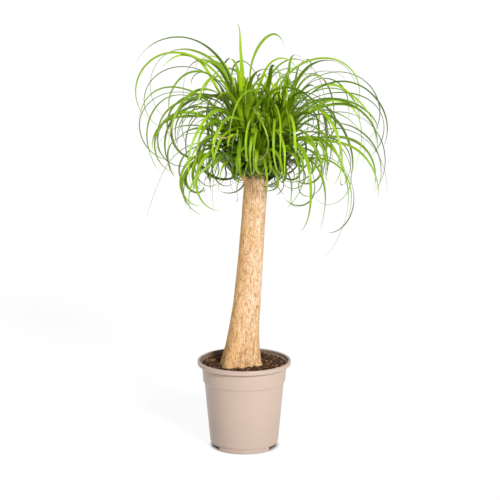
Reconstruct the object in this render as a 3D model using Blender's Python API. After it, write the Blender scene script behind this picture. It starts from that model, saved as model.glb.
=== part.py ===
"""Potted ponytail palm: a plastic nursery pot, its soil, a bare trunk and the leaves of six heads.

Metres, +Z up. The origin is the middle of the pot's underside, which rests on a surface at z = 0.
The front faces -Y. A heading is measured round +Z from +X, so 180 points left and 270 to the front.
"""

from math import cos, exp, pi, radians, sin
from random import Random

import bmesh
import bpy
from mathutils import Matrix, Vector
from mathutils.bvhtree import BVHTree

# Pot
RIM_RADIUS = 0.1200
RIM_HEIGHT = 0.2280
RIM_BAND = 0.0115
RIM_ROLL = 0.0038
RIM_INSET = 0.0080
RIM_GROOVE = 0.0006
GROOVE_HALF_HEIGHT = 0.0012
COLLAR_RADIUS = 0.1088
COLLAR_FOOT_RADIUS = 0.1060
COLLAR_FOOT = 0.1745
BODY_TOP_RADIUS = 0.1022
BODY_FOOT_RADIUS = 0.0880
FOOT_RADIUS = 0.0855
FOOT_HEIGHT = 0.0136
FOOT_THICKNESS = 0.0026
EDGE_BREAK = 0.0008
COLLAR_STEP = 0.0028
COLLAR_STEP_HEIGHT = 0.0040
AXIS_RADIUS = 0.0010
WALL = 0.0016
FLOOR_UNDERSIDE = 0.0105
FLOOR_THICKNESS = 0.0020
BOSS_RADIUS = 0.0150
BOSS_WALL = 0.0020
NOTCH_DEPTH = 0.0240
NOTCH_HEIGHT = 0.0098
NOTCH_WIDTH = 0.0360
NOTCH_HEADINGS = (-150, -30, 90)
DRAIN_RING = 0.0550
DRAIN_RADIUS = 0.0045
DRAIN_COUNT = 6
DRAIN_SIDES = 10
SIDES = 40

# Soil
GAP = 0.0005
SOCKET_GAP = 0.0008
SOIL_GAP = 0.0009
SOIL_TOP = 0.2130
SOIL_SHARES = (0.35, 0.70)
SOIL_SWELL = 0.0012

# Trunk
TRUNK_BOTTOM = 0.1720
TRUNK_TOP = 0.7040
TRUNK_DOME = 0.0080
TRUNK_FOOT_X = -0.0105
TRUNK_FOOT_Y = -0.0080
TRUNK_LEAN = 0.0405
TRUNK_BOW = 0.0040
STEM_RADIUS = 0.0295
STEM_TAPER = 0.0050
BASE_FLARE = 0.0205
FLARE_FALL = 0.0780
BURIED_TAPER = 0.92
BURIED_SHARES = (1.0, 0.93, 0.75, 0.45, 0.18, 0.0)
STEM_STEPS = 15
STEM_STEP_EASE = 1.4

# Swellings of the base: heading, width in degrees, size as a share of the flare.
LOBES = (
    (236, 30, 0.42),
    (150, 30, 0.22),
    (60, 36, 0.20),
    (298, 34, -0.56),
    (195, 16, -0.20),
)

# Roots at the soil line: heading, width in degrees, how far they stand out.
ROOTS = (
    (-22, 13, 0.011),
    (305, 12, 0.004),
)
ROOT_FALL = 0.0110

# Short branches that carry the heads
STUB_ROOT_RADIUS = 0.0200
STUB_ROOT_DEPTH = 0.0450
STUB_RISE = 0.0500
STUB_SPREAD = 0.20
STUB_NECK = 0.0550
STUB_SHOULDER_DROP = 0.0060
STUB_DOME_DROP = 0.0020
STUB_STEPS = 7
HEAD_RADIUS = 0.0140
HEAD_SIDES = 12

# Leaves
LEAF_WIDTH = 0.0160
LEAF_HALF_THICKNESS = 0.0005
LEAF_CHANNEL = 0.12
LEAF_STEPS = 17
LEAF_CLEARANCE = 0.0007
BASE_FLARE_SHARE = 0.25
BASE_FLARE_FALL = 0.05
TIP_SHARE = 0.985
TIP_WIDTH = 0.08
TIP_THINNING = 0.55
BASE_OFFSET = 0.0022
FIRST_DROP = 0.0060
BASE_SPACING = 0.0044
GOLDEN_SHARE = 0.618
YOUNG_RISE = 86
AGE_FALL = 34
SEED = 11

# Nudges that may clear a leaf of its neighbours: metres outward, then degrees; the last are
# the shares of its length that it may keep.
OUTWARD_NUDGES = (0.0, 0.0015, 0.0030, 0.0050, 0.0080)
HEADING_NUDGES = (0, 3, -3, 6, -6, 10, -10, 16, -16, 24, -24)
RISE_NUDGES = (0, -2, -5, -9)
SWAY_NUDGES = (0, 14, -14, 30, -30)
SHORTENINGS = (1.0, 0.92, 0.84)

# Each head's growing tip: where its newest leaves come out.
HEADS = {
    "upper_left": (0.000, 0.002, 0.858),
    "upper_right": (0.098, 0.004, 0.864),
    "back": (0.050, 0.050, 0.830),
    "front": (0.036, -0.040, 0.776),
    "lower_left": (-0.012, -0.010, 0.756),
    "lower_right": (0.078, -0.012, 0.754),
}

# Leaves that draw the crown's outline, head by head: heading, rise above level at the base,
# length in metres, turn over the whole length, and ease (1 is an even arch, more keeps the base
# straight, less lets the leaf fall early).
OUTLINE_LEAVES = {
    "upper_left": (
        (110, 88, 0.25, 120, 12.0),
        (58, 88, 0.365, 168, 2.0),
        (198, 88, 0.45, 148, 1.45),
        (152, 88, 0.52, 236, 1.40),
        (240, 86, 0.36, 190, 1.4),
        (177, 86, 0.50, 226, 1.5),
        (132, 85, 0.44, 205, 1.4),
        (192, 84, 0.48, 250, 1.6),
        (206, 86, 0.36, 205, 1.6),
        (225, 82, 0.42, 172, 1.1),
        (164, 74, 0.35, 205, 1.0),
    ),
    "upper_right": (
        (-36, 84, 0.37, 185, 1.5),
        (10, 82, 0.44, 225, 1.15),
        (-2, 76, 0.40, 190, 1.1),
        (-20, 70, 0.33, 165, 1.0),
        (-46, 60, 0.49, 196, 0.60),
    ),
    "back": (
        (4, 87, 0.46, 226, 1.5),
        (280, 87, 0.36, 175, 2.0),
        (60, 80, 0.44, 190, 1.3),
        (120, 80, 0.44, 190, 1.3),
    ),
    "front": (
        (330, 88, 0.22, 120, 4.0),
        (236, 86, 0.32, 185, 1.2),
        (268, 84, 0.29, 185, 1.1),
        (292, 74, 0.20, 165, 0.9),
    ),
    "lower_left": (
        (180, 86, 0.53, 275, 1.5),
        (192, 86, 0.42, 255, 1.35),
        (170, 80, 0.43, 290, 1.5),
        (234, 78, 0.33, 250, 0.95),
        (208, 70, 0.29, 225, 0.9),
        (205, 64, 0.30, 245, 1.1),
    ),
    "lower_right": (
        (0, 84, 0.49, 215, 1.05),
        (12, 78, 0.43, 190, 1.0),
        (-66, 80, 0.42, 232, 0.85),
        (-50, 74, 0.35, 205, 0.8),
        (-22, 52, 0.42, 228, 1.1),
    ),
}

# How many leaves each head carries in all, the arc of headings left to the unnamed ones, and
# about how long those are.
HEAD_LEAVES = {
    "upper_left": (13, 60, 260, 0.38),
    "upper_right": (11, -100, 165, 0.34),
    "back": (9, 20, 175, 0.40),
    "front": (8, 190, 350, 0.27),
    "lower_left": (8, 110, 260, 0.30),
    "lower_right": (7, -90, 60, 0.30),
}

COLOURS = {
    "pot": ((0.560, 0.445, 0.365), 0.45),
    "potting_soil": ((0.055, 0.034, 0.018), 0.95),
    "trunk": ((0.640, 0.400, 0.210), 0.85),
    "leaf": ((0.160, 0.270, 0.015), 0.38),
}


def clear_scene():
    for thing in list(bpy.data.objects):
        bpy.data.objects.remove(thing)


def paint(thing, finish):
    colour, roughness = COLOURS[finish]
    material = bpy.data.materials.new(thing.name)
    material.use_nodes = True
    shader = material.node_tree.nodes["Principled BSDF"]
    shader.inputs["Base Color"].default_value = (*colour, 1.0)
    shader.inputs["Roughness"].default_value = roughness
    shader.inputs["Metallic"].default_value = 0.0
    thing.data.materials.append(material)


def add_object(name, mesh_data, finish, smooth_angle=35):
    """Put a bmesh in the scene as a named, smooth-shaded object."""
    mesh = bpy.data.meshes.new(name)
    bmesh.ops.recalc_face_normals(mesh_data, faces=mesh_data.faces)
    mesh_data.to_mesh(mesh)
    mesh_data.free()
    thing = bpy.data.objects.new(name, mesh)
    bpy.context.scene.collection.objects.link(thing)
    mesh.shade_smooth()
    mesh.set_sharp_from_angle(angle=radians(smooth_angle))
    paint(thing, finish)
    return thing


def add_cutter(name, mesh_data):
    thing = add_object(name, mesh_data, "pot")
    thing.hide_render = True
    thing.display_type = "WIRE"
    return thing


def use_boolean(thing, other, operation):
    change = thing.modifiers.new(other.name, "BOOLEAN")
    change.object = other
    change.operation = operation
    change.solver = "EXACT"


def loft(rings):
    """Skin a list of rings with equal point counts; ends are capped with one face each."""
    shape = bmesh.new()
    loops = [[shape.verts.new(point) for point in ring] for ring in rings]
    for lower, upper in zip(loops, loops[1:]):
        count = len(lower)
        for i in range(count):
            j = (i + 1) % count
            shape.faces.new((lower[i], lower[j], upper[j], upper[i]))
    shape.faces.new(loops[0][::-1])
    shape.faces.new(loops[-1])
    return shape


def circle(radius, height, sides=SIDES):
    turns = [2 * pi * i / sides for i in range(sides)]
    return [(radius * cos(turn), radius * sin(turn), height) for turn in turns]


def turned(profile):
    """A solid turned round Z from (radius, height) points that begin and end on the axis."""
    return loft([circle(radius, height) for radius, height in profile])


# ---- pot ----------------------------------------------------------------------------------


def arc_points(centre, radius, start, end, count):
    step = (end - start) / (count - 1)
    turns = [radians(start + step * i) for i in range(count)]
    return [(centre[0] + radius * cos(turn), centre[1] + radius * sin(turn)) for turn in turns]


def underside_outline():
    """From the axis out, round the boss and up to the floor, to the inside of the foot ring."""
    corner = 0.75 * EDGE_BREAK
    return [
        (AXIS_RADIUS, 0.0),
        (BOSS_RADIUS - corner, 0.0),
        (BOSS_RADIUS, corner),
        (BOSS_RADIUS, FLOOR_UNDERSIDE),
        (FOOT_RADIUS - FOOT_THICKNESS, FLOOR_UNDERSIDE),
        (FOOT_RADIUS - FOOT_THICKNESS + 0.5 * EDGE_BREAK, 0.0),
    ]


def outside_outline():
    """Up the foot ring and the body, over the collar's step, to the groove round the rim."""
    band_bottom = RIM_HEIGHT - RIM_BAND
    band_middle = RIM_HEIGHT - 0.5 * RIM_BAND
    return [
        (FOOT_RADIUS - 0.75 * EDGE_BREAK, 0.0),
        (FOOT_RADIUS, EDGE_BREAK),
        (FOOT_RADIUS, FOOT_HEIGHT),
        (BODY_FOOT_RADIUS, FOOT_HEIGHT + EDGE_BREAK),
        (BODY_TOP_RADIUS, COLLAR_FOOT - COLLAR_STEP_HEIGHT),
        (COLLAR_FOOT_RADIUS - 0.5 * COLLAR_STEP, COLLAR_FOOT - COLLAR_STEP),
        (COLLAR_FOOT_RADIUS, COLLAR_FOOT),
        (COLLAR_RADIUS, band_bottom),
        (RIM_RADIUS - EDGE_BREAK, band_bottom),
        (RIM_RADIUS, band_bottom + EDGE_BREAK),
        (RIM_RADIUS, band_middle - GROOVE_HALF_HEIGHT),
        (RIM_RADIUS - RIM_GROOVE, band_middle),
        (RIM_RADIUS, band_middle + GROOVE_HALF_HEIGHT),
    ]


def inside_outline():
    """Down from the rim's inner lip, inside the collar and body, across the floor to the axis."""
    band_bottom = RIM_HEIGHT - RIM_BAND
    floor_top = FLOOR_UNDERSIDE + FLOOR_THICKNESS
    return [
        (RIM_RADIUS - RIM_INSET, band_bottom + 0.5 * RIM_INSET),
        (COLLAR_RADIUS - WALL, band_bottom - 0.0015),
        (COLLAR_FOOT_RADIUS - WALL, COLLAR_FOOT + 0.0010),
        (BODY_TOP_RADIUS - WALL, COLLAR_FOOT - 0.0030),
        (BODY_FOOT_RADIUS - WALL, floor_top),
        (BOSS_RADIUS - BOSS_WALL, floor_top),
        (BOSS_RADIUS - 1.2 * BOSS_WALL, FLOOR_THICKNESS),
        (AXIS_RADIUS, FLOOR_THICKNESS),
    ]


def pot_outline():
    """The pot's half section: underside, outside, the rolled rim, inside."""
    crest = (RIM_RADIUS - RIM_ROLL, RIM_HEIGHT - RIM_ROLL)
    over_rim = arc_points(crest, RIM_ROLL, 0, 160, 5)
    return underside_outline() + outside_outline() + over_rim + inside_outline()


def notch_cutter(heading):
    cutter = bmesh.new()
    bmesh.ops.create_cube(cutter, size=1.0)
    bmesh.ops.scale(cutter, vec=(NOTCH_DEPTH, NOTCH_WIDTH, 2 * NOTCH_HEIGHT), verts=cutter.verts)
    bmesh.ops.translate(cutter, vec=(FOOT_RADIUS, 0.0, 0.0), verts=cutter.verts)
    turn = Matrix.Rotation(radians(heading), 3, "Z")
    bmesh.ops.rotate(cutter, cent=(0, 0, 0), matrix=turn, verts=cutter.verts)
    return add_cutter(f"notch_cutter_{heading}", cutter)


def drain_cutter(index):
    heading = 2 * pi * (index + 0.5) / DRAIN_COUNT
    x = DRAIN_RING * cos(heading)
    y = DRAIN_RING * sin(heading)
    low = FLOOR_UNDERSIDE - FLOOR_THICKNESS
    high = FLOOR_UNDERSIDE + 2 * FLOOR_THICKNESS
    rings = [
        [(x + a, y + b, height) for a, b, _ in circle(DRAIN_RADIUS, 0.0, DRAIN_SIDES)]
        for height in (low, high)
    ]
    return add_cutter(f"drain_cutter_{index}", loft(rings))


def make_pot():
    pot = add_object("pot", turned(pot_outline()), "pot")
    for heading in NOTCH_HEADINGS:
        use_boolean(pot, notch_cutter(heading), "DIFFERENCE")
    for index in range(DRAIN_COUNT):
        use_boolean(pot, drain_cutter(index), "DIFFERENCE")
    return pot


# ---- trunk --------------------------------------------------------------------------------


def trunk_centre(height):
    rise = (height - SOIL_TOP) / (TRUNK_TOP - SOIL_TOP)
    rise = max(rise, -0.05)
    x = TRUNK_FOOT_X + TRUNK_LEAN * rise + TRUNK_BOW * sin(pi * rise)
    y = TRUNK_FOOT_Y * (1 - min(max(rise, 0.0), 1.0))
    return x, y


def lobe(heading, middle, width, size):
    """A swelling or hollow round one heading, fading within about the given width in degrees."""
    away = (heading - middle + 180) % 360 - 180
    return size * exp(-((away / width) ** 2))


def trunk_radius(heading, height):
    """The trunk's radius: a slender stem on a swollen base with root lobes at the soil."""
    over = height - SOIL_TOP
    rise = over / (TRUNK_TOP - SOIL_TOP)
    stem = STEM_RADIUS + STEM_TAPER * (1 - rise)
    flare = BASE_FLARE * exp(-max(over, 0.0) / FLARE_FALL)
    lobes = sum(lobe(heading, *shape) for shape in LOBES)
    roots = sum(lobe(heading, *shape) for shape in ROOTS) * exp(-abs(over) / ROOT_FALL)
    radius = stem + flare * (1 + lobes) + roots
    if over < 0:
        depth = -over / (SOIL_TOP - TRUNK_BOTTOM)
        radius *= (1 - BURIED_TAPER * depth**3) ** 0.5
    return radius


def trunk_ring(height, extra=0.0):
    x, y = trunk_centre(height)
    ring = []
    for i in range(SIDES):
        turn = 2 * pi * i / SIDES
        radius = trunk_radius(turn * 180 / pi, height) + extra
        ring.append((x + radius * cos(turn), y + radius * sin(turn), height))
    return ring


def buried_heights():
    depth = SOIL_TOP - TRUNK_BOTTOM
    return [SOIL_TOP - depth * share for share in BURIED_SHARES]


def trunk_heights():
    """Ring heights: the buried foot, closely spaced rings on the flare, wider ones on the stem."""
    heights = buried_heights()
    for i in range(1, STEM_STEPS + 1):
        rise = (i / STEM_STEPS) ** STEM_STEP_EASE
        heights.append(SOIL_TOP + (TRUNK_TOP - SOIL_TOP) * rise)
    return heights


def bezier(points, amount):
    start, out, back, end = points
    rest = 1 - amount
    return start * rest**3 + out * 3 * rest**2 * amount + back * 3 * rest * amount**2 + end * amount**3


def head_stub(name, tip):
    """A short branch from inside the trunk's top to one head, with a domed tip."""
    x, y = trunk_centre(TRUNK_TOP)
    tip = Vector(tip)
    root = Vector((x, y, TRUNK_TOP - STUB_ROOT_DEPTH))
    shoulder = root + Vector(((tip.x - x) * STUB_SPREAD, (tip.y - y) * STUB_SPREAD, STUB_RISE))
    neck = tip - Vector((0, 0, STUB_NECK))
    end = tip - Vector((0, 0, STUB_SHOULDER_DROP))
    rings = []
    for i in range(STUB_STEPS + 1):
        amount = i / STUB_STEPS
        centre = bezier((root, shoulder, neck, end), amount)
        radius = STUB_ROOT_RADIUS + (HEAD_RADIUS - STUB_ROOT_RADIUS) * amount
        rings.append(level_ring(centre, radius))
    rings.append(level_ring(tip - Vector((0, 0, STUB_DOME_DROP)), HEAD_RADIUS * 0.70))
    rings.append(level_ring(tip, HEAD_RADIUS * 0.25))
    return add_cutter(f"stub_{name}", loft(rings))


def level_ring(centre, radius):
    return [(centre.x + a, centre.y + b, centre.z) for a, b, _ in circle(radius, 0.0, HEAD_SIDES)]


def make_trunk():
    rings = [trunk_ring(height) for height in trunk_heights()]
    x, y = trunk_centre(TRUNK_TOP)
    crown = circle(STEM_RADIUS * 0.62, TRUNK_TOP + TRUNK_DOME)
    rings.append([(x + a, y + b, height) for a, b, height in crown])
    trunk = add_object("trunk", loft(rings), "trunk")
    for name, tip in HEADS.items():
        use_boolean(trunk, head_stub(name, tip), "UNION")
    return trunk


# ---- soil ---------------------------------------------------------------------------------


def soil_side():
    """(radius, height) points down the soil's side, a little inside the pot's inner wall."""
    inner = WALL + SOIL_GAP
    return [
        (COLLAR_RADIUS - inner - 0.0003, SOIL_TOP - 0.0010),
        (COLLAR_FOOT_RADIUS - inner, COLLAR_FOOT + 0.0014),
        (BODY_TOP_RADIUS - inner, COLLAR_FOOT - 0.0030),
        (BODY_FOOT_RADIUS - inner, FLOOR_UNDERSIDE + FLOOR_THICKNESS + GAP),
    ]


def soil_surface_ring(share):
    """A ring on the soil's top, part of the way from the trunk to the pot, gently uneven."""
    inner = trunk_ring(SOIL_TOP, SOCKET_GAP)
    edge = soil_side()[0]
    outer = circle(edge[0], edge[1])
    ring = []
    for i in range(SIDES):
        turn = 2 * pi * i / SIDES
        uneven = SOIL_SWELL * (1 + sin(3 * turn) + 0.67 * sin(5 * turn + 1.0))
        point = Vector(inner[i]).lerp(Vector(outer[i]), share)
        point.z = SOIL_TOP + uneven * sin(pi * share)
        ring.append(point)
    return ring


def make_soil():
    """Soil that fills the pot, with a socket round the trunk's buried foot."""
    socket = [trunk_ring(height, SOCKET_GAP) for height in buried_heights()]
    lowest = [(a, b, TRUNK_BOTTOM - GAP) for a, b, _ in socket[0]]
    surface = [soil_surface_ring(share) for share in SOIL_SHARES]
    side = [circle(radius, height) for radius, height in soil_side()]
    rings = [lowest] + socket[1:] + surface + side
    return add_object("potting_soil", loft(rings), "potting_soil")


# ---- leaves -------------------------------------------------------------------------------


def leaf_width(share):
    """Width along a leaf as a share of its nominal width: a clasping base, then a long taper."""
    flare = BASE_FLARE_SHARE * exp(-share / BASE_FLARE_FALL)
    return (1 - share) ** 0.75 + flare


def leaf_direction(shape, share):
    """Which way a leaf runs at a share of its length, and the level line square to that."""
    heading, rise, _, turn, ease, sway = shape
    angle = radians(rise - turn * share**ease)
    facing = radians(heading + sway * share**2)
    along = Vector((cos(angle) * cos(facing), cos(angle) * sin(facing), sin(angle)))
    level = Vector((-sin(facing), cos(facing), 0.0))
    return along, level


def leaf_rings(base, shape, roll, grow=0.0):
    """Four-cornered rings along a leaf: edge, channel, edge, keel. grow fattens it for testing."""
    step = shape[2] / LEAF_STEPS
    point = Vector(base)
    rings = []
    for i in range(LEAF_STEPS + 1):
        share = i / LEAF_STEPS
        along, level = leaf_direction(shape, share)
        above = along.cross(level)
        rolled = radians(roll[0] + roll[1] * share)
        across = level * cos(rolled) + above * sin(rolled)
        up = above * cos(rolled) - level * sin(rolled)
        half = 0.5 * LEAF_WIDTH * max(leaf_width(min(share, TIP_SHARE)), TIP_WIDTH) + grow
        thick = LEAF_HALF_THICKNESS * (1 - TIP_THINNING * share) + grow
        channel = LEAF_CHANNEL * 2 * half * (1 - 0.5 * share)
        rings.append(
            [
                point + across * half,
                point - up * (channel - thick),
                point - across * half,
                point - up * (channel + thick),
            ]
        )
        point = point + leaf_direction(shape, (i + 0.5) / LEAF_STEPS)[0] * step
    return rings


def test_tree(rings):
    shape = loft(rings)
    tree = BVHTree.FromBMesh(shape)
    shape.free()
    return tree


def leaf_base(tip, order, heading, outward):
    """Where a leaf leaves its head: older leaves lower down, all just outside the stub."""
    facing = radians(heading)
    reach = HEAD_RADIUS + BASE_OFFSET + outward
    drop = FIRST_DROP + BASE_SPACING * order
    return (tip[0] + reach * cos(facing), tip[1] + reach * sin(facing), tip[2] - drop)


def nudges():
    """Small changes tried in turn until a leaf clears its neighbours, the gentlest first."""
    tries = []
    for outward in OUTWARD_NUDGES:
        for heading in HEADING_NUDGES:
            for rise in RISE_NUDGES:
                for sway in SWAY_NUDGES:
                    effort = outward * 1500 + abs(heading) + abs(rise) * 1.2 + abs(sway) * 0.25
                    tries.append((effort, outward, heading, rise, sway))
    return sorted(tries)


def spare_leaf(age, heading, usual, chance):
    """A leaf of a head's own making: the older it is, the lower it starts."""
    rise = YOUNG_RISE - AGE_FALL * age + chance.uniform(-3, 3)
    length = usual * chance.uniform(0.85, 1.15)
    turn = rise + chance.uniform(80, 140)
    ease = chance.uniform(0.9, 1.4)
    sway = chance.uniform(-25, 25)
    return heading, rise, length, turn, ease, sway


def all_leaf_shapes():
    """Every head's leaves: the outline ones, then ones spread by the golden share over the free arc."""
    chance = Random(SEED)
    shapes = []
    for head, (count, first, last, usual) in HEAD_LEAVES.items():
        leaves = [(*shape, chance.uniform(-28, 28)) for shape in OUTLINE_LEAVES[head]]
        spare = count - len(leaves)
        for i in range(spare):
            heading = first + (last - first) * ((i + 0.5) * GOLDEN_SHARE % 1)
            leaves.append(spare_leaf((i + 0.6) / spare, heading, usual, chance))
        leaves.sort(key=lambda shape: -shape[1])
        for order, shape in enumerate(leaves):
            roll = (chance.uniform(-12, 12), chance.choice((-1, 1)) * chance.uniform(25, 85))
            shapes.append((head, order, shape, roll))
    return shapes


def nudged(shape, heading, rise, sway, shrink):
    """The leaf's shape turned, lowered, swayed and shortened a little, falling as steeply as before."""
    return (
        shape[0] + heading,
        shape[1] + rise,
        shape[2] * shrink,
        shape[3] + rise,
        shape[4],
        shape[5] + sway,
    )


def place_leaf(head, order, shape, roll, taken):
    """Find the gentlest nudge that keeps a leaf clear of everything placed before it."""
    for shrink in SHORTENINGS:
        for _, outward, heading, rise, sway in nudges():
            moved = nudged(shape, heading, rise, sway, shrink)
            base = leaf_base(HEADS[head], order, moved[0], outward)
            tree = test_tree(leaf_rings(base, moved, roll, grow=LEAF_CLEARANCE))
            if any(tree.overlap(other) for other in taken):
                continue
            rings = leaf_rings(base, moved, roll)
            taken.append(test_tree(rings))
            return rings
    raise RuntimeError(f"no clear place for leaf {order} of the {head} head")


def make_leaves(trunk):
    depsgraph = bpy.context.evaluated_depsgraph_get()
    taken = [BVHTree.FromObject(trunk, depsgraph)]
    for number, (head, order, shape, roll) in enumerate(all_leaf_shapes(), start=1):
        rings = place_leaf(head, order, shape, roll, taken)
        add_object(f"leaf_{number:02d}", loft(rings), "leaf")


def main():
    clear_scene()
    make_pot()
    make_soil()
    trunk = make_trunk()
    make_leaves(trunk)


if __name__ == "__main__":
    main()
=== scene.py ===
"""Potted ponytail palm: a plastic nursery pot, soil, a corky trunk and some 350 arching leaves.

Metres, +Z up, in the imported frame's own coordinates. The front faces -Y. A heading is measured
round +Z from +X, so 180 points left and 270 to the front.
"""

from collections import namedtuple
from itertools import product
from math import cos, exp, pi, radians, sin
from random import Random

import bmesh
import bpy
import numpy as np
from mathutils import Matrix, Vector, noise
from mathutils.bvhtree import BVHTree


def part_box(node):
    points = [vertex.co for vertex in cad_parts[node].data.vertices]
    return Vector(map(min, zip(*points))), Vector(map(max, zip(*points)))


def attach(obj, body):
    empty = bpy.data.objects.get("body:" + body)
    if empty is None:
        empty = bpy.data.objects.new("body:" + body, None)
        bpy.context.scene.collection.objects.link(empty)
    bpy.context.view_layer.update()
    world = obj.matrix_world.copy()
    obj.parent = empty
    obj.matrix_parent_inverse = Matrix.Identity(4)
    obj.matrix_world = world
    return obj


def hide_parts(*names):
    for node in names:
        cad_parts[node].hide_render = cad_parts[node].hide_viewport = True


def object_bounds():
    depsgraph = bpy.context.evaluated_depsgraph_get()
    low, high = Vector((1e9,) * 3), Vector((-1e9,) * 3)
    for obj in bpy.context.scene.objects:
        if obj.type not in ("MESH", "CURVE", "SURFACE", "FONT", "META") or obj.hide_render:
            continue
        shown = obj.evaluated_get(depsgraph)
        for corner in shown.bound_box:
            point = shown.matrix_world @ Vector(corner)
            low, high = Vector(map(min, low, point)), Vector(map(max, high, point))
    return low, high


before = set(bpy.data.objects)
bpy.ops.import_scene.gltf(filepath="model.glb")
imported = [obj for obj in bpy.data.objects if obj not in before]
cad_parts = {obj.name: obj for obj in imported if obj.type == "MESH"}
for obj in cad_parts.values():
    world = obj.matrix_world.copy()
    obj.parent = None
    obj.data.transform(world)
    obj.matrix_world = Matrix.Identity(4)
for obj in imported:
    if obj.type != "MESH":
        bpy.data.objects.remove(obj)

bl_info = {
    "name": "Potted Ponytail Palm",
    "version": (1, 0, 0),
    "blender": (4, 5, 0),
    "location": "View3D > Sidebar > Palm",
    "description": "Builds a ponytail palm in a nursery pot, piece by piece, and a studio to see it in",
    "category": "Add Mesh",
}

CAD_LOW, CAD_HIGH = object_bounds()
POT_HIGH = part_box("pot")[1]
TRUNK_LOW, TRUNK_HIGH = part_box("trunk")
LEAF_NODES = sorted(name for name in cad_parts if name.startswith("leaf_"))
BODY = "root"
WELD = 1e-5

# Rays that find a surface come down from above it, or in from outside it.
DOWN = Vector((0, 0, -1))
ABOVE_SOIL = 0.05
ABOVE_CROWN = 0.1
OUTSIDE = 0.20

# Pot: its section below the rim, the same as the frame's, and the cuts in its foot and floor.
RIM_BAND = 0.0115
RIM_ROLL = 0.0038
RIM_RIB = 0.0016
RIM_LIP = 0.0070
NEAR = 0.0005
COLLAR_RADIUS = 0.1088
COLLAR_FOOT_RADIUS = 0.1060
COLLAR_FOOT = 0.1745
BODY_TOP_RADIUS = 0.1022
BODY_FOOT_RADIUS = 0.0880
FOOT_RADIUS = 0.0855
FOOT_HEIGHT = 0.0136
WALL = 0.0016
FLOOR_UNDERSIDE = 0.0105
FLOOR_THICKNESS = 0.0020
BOSS_RADIUS = 0.0150
AXIS_RADIUS = 0.0010
NOTCH_HEIGHT = 0.0098
NOTCH_WIDTH = 0.0360
NOTCH_DEPTH = 0.0240
NOTCH_HEADINGS = (-150, -30, 90)
DRAIN_RING = 0.0550
DRAIN_RADIUS = 0.0045
DRAIN_COUNT = 6
DRAIN_SIDES = 24

# Soil: its levels, its mesh, and the gaps it keeps from the pot and the trunk.
SOIL_TOP = 0.2130
SOIL_HEAP = 0.0062
SOIL_SIDES = 220
SOIL_ROWS = 56
SOCKET_LEVELS = (0.10, 0.45, 0.80)
SOIL_GAP = 0.0006
WALL_GAP = 0.0009
EDGE_GAP = 0.0012
CRUMB_GAP = 0.0030
CRUMB_SEED = 5

# Trunk: its levels, and a line up the inside of it that slices are first measured from.
TRUNK_TOP = 0.7040
BARK_TOP = TRUNK_TOP + 0.022
BARK_FADE = 0.03
LEAST_RELIEF = 0.15
TRUNK_AXIS_X = 0.031
SLICE_START_X = (TRUNK_LOW.x + TRUNK_HIGH.x) / 2 - 0.045
SLICE_START_Y = -0.006
SLICE_ROUNDS = 4
AXIS_MARGIN = 0.03
AXIS_SLICES = 24
AXIS_SIDES = 24
HEAD_RADIUS = 0.0140
# The heading of the trunk's side that the bark paints in shade.
SHADED_SIDE = radians(190)
SMOOTHING_ROUNDS = 5

# Where the bark gets painted shade among the leaves: where the trunk widens under the heads, and all of its
# top.
FLARE_START = TRUNK_TOP - 0.006
FLARE_REACH = 0.0335
FLARE_BAND = 0.0050
TOP_SHADE_START = BARK_TOP - 0.004
TOP_SHADE_BAND = 0.012

# Leaf section, from one edge over the upper side to the other edge.
SECTION = (1.0, 0.74, 0.38, 0.0, -0.38, -0.74, -1.0)
LEAF_STEPS = 64
OLD_BASE_STEPS = 16
LEAF_SMOOTHING = 70
RULE_STEPS = 20
CHANNEL = 0.42
BLADE_HALF_THICKNESS = 0.0005
EDGE_HALF_WIDTH = 0.00022
WAVE = 0.0022
TWIST = 12.0
WAVER = 7.0

# How leaves stand round their heads, in degrees where they are angles.
GOLDEN_ANGLE = 137.508
LEAN = 30.0
STUB_STEP = 0.008
YOUNG_LEAVES = 9
HEART_AGE = 0.30
CROSSING_SHARE = 0.06
SKIRT_CROSSING_SHARE = 0.60
SKIRT_LOWEST = 0.62
MAIN_SEED = 21
FILLING_SEED = 33

# What is tried, in order, to keep a new leaf clear of the others, and how it is kept in bounds.
OUTWARD_TRIALS = (0.0010, 0.0035, 0.0070, 0.0110)
ASIDE_TRIALS = (0, 8, -8, 18, -18, 30, -30)
LOWER_TRIALS = (0, 6)
SHORTENING = 0.93
SHORTEST = 0.05
BOX_MARGIN = 0.004
FRONT_MIDDLE_X = 0.024
FRONT_HALF_WIDTH = 0.042

# Main leaves whose blades turn a little to the front, in degrees, and ones with their own tint.
TURNED_LEAVES = {"leaf_02": -55}
TINTED_LEAVES = {"leaf_01": 0.85, "leaf_02": 0.95}

# The middle of the crown, and how far from it the blades get painted shade.
CROWN_LOW = np.array((0.000, -0.020, TRUNK_TOP))
CROWN_HIGH = np.array((0.090, 0.040, TRUNK_TOP + 0.080))
CROWN_DEPTH = 0.070

# The trunk's top as (x, y, height, radius) rows going down, where the skirt's leaves come out.
COLLAR_LINE = np.array(
    [(0.031, 0.000, TRUNK_TOP + 0.036, 0.030), (0.030, 0.000, TRUNK_TOP - 0.004, 0.0315)]
)

# Lights as heading, height above level and softness, in degrees; the camera in metres.
KEY_LIGHT = (-64, 28, 12)
BACK_LIGHT = (130, 35, 40)
FLOOR_SIZE = 12.0
CAMERA_PLACE = Vector((0.015, -5.308, 1.670))
CAMERA_AIM = Vector((0.015, 0.0, 0.5155))
CAMERA_LENS = 153.8
CAMERA_SENSOR = 36.0

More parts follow.
